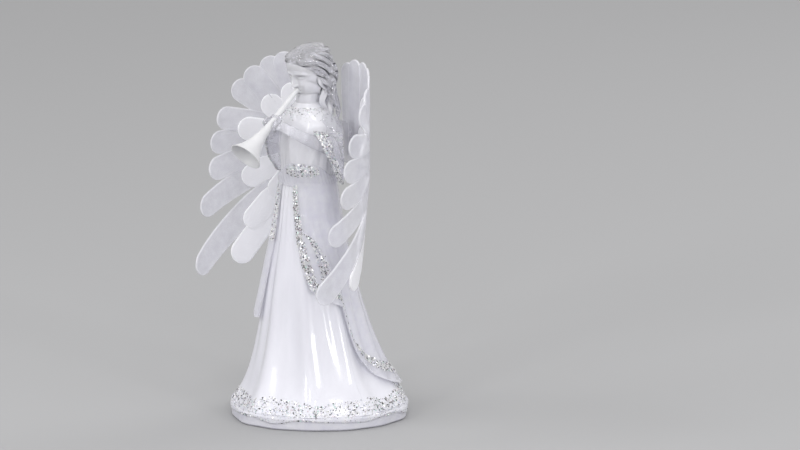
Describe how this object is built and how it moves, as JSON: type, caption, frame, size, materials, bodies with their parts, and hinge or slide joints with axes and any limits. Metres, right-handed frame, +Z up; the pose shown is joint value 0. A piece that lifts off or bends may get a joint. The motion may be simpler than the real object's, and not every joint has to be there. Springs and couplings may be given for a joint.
{
  "type": "lighted angel figurine",
  "caption": "Standing clear angel in a long robe with two curled feathered wings and a horn, lit from inside by lamps over a battery base.",
  "frame": {"origin": "middle of the base, on the face that it stands on", "axes": "+Z up; the angel faces -Y, and +X is its left"},
  "size_m": [0.132, 0.1302, 0.2504],
  "materials": {
    "frosted_plinth": "frosted clear, uneven like cut ice",
    "clear_body": "polished clear, with silver glitter bands",
    "milky_liner": "milky white, glossy",
    "clear_drape": "polished clear, glitter along its edges",
    "frosted_wing": "frosted, fine ribs along the feathers",
    "horn": "frosted white",
    "base_plastic": "plain moulded white",
    "knob": "fine matte black",
    "cell": "satin sleeve, plain, with a bright nub",
    "spring_steel": "nickel plated",
    "screw_steel": "zinc plated",
    "board": "green solder mask",
    "lamp": "water-clear lens",
    "wire_red": "smooth sleeve",
    "wire_yellow": "smooth sleeve",
    "wire_black": "smooth sleeve"
  },
  "bodies": {
    "figurine": {"plinth": "frosted_plinth", "front_shell": "clear_body", "back_shell": "clear_body", "light_liner": "milky_liner", "overskirt": "clear_drape", "right_wing": "frosted_wing", "left_wing": "frosted_wing", "horn": "horn", "head": "clear_body", "right_arm": "clear_body", "left_arm": "clear_body", "base_cover": "base_plastic", "switch_body": "screw_steel", "circuit_board": "board", "wire_red": "wire_red", "wire_yellow": "wire_yellow", "wire_black": "wire_black", "cover_screw_1": "screw_steel", "cover_screw_2": "screw_steel", "cover_screw_3": "screw_steel", "cover_screw_4": "screw_steel", "battery_1": "cell", "battery_2": "cell", "battery_3": "cell", "contact_spring_1": "spring_steel", "contact_spring_2": "spring_steel", "contact_spring_3": "spring_steel", "contact_plate_1": "spring_steel", "contact_plate_2": "spring_steel", "contact_plate_3": "spring_steel", "contact_plate_4": "spring_steel", "lamp_1": "lamp", "lamp_2": "lamp", "lamp_3": "lamp"},
    "switch_knob": {"switch_knob": "knob"},
    "battery_door": {"battery_door": "base_plastic"},
    "door_screw": {"door_screw": "screw_steel"}
  },
  "joints": [
    {"name": "switch_slide", "type": "slide", "parent": "figurine", "child": "switch_knob", "axis": [1, 0, 0], "range_m": [0, 0.003]},
    {"name": "door_lift", "type": "slide", "parent": "figurine", "child": "battery_door", "axis": [0, 0, -1], "range_m": [0, 0.025]},
    {"name": "door_screw_spin", "type": "hinge", "parent": "battery_door", "child": "door_screw", "pos_m": [0.0301, 0.0205, 0.001], "axis": [0, 0, 1], "continuous": true}
  ]
}
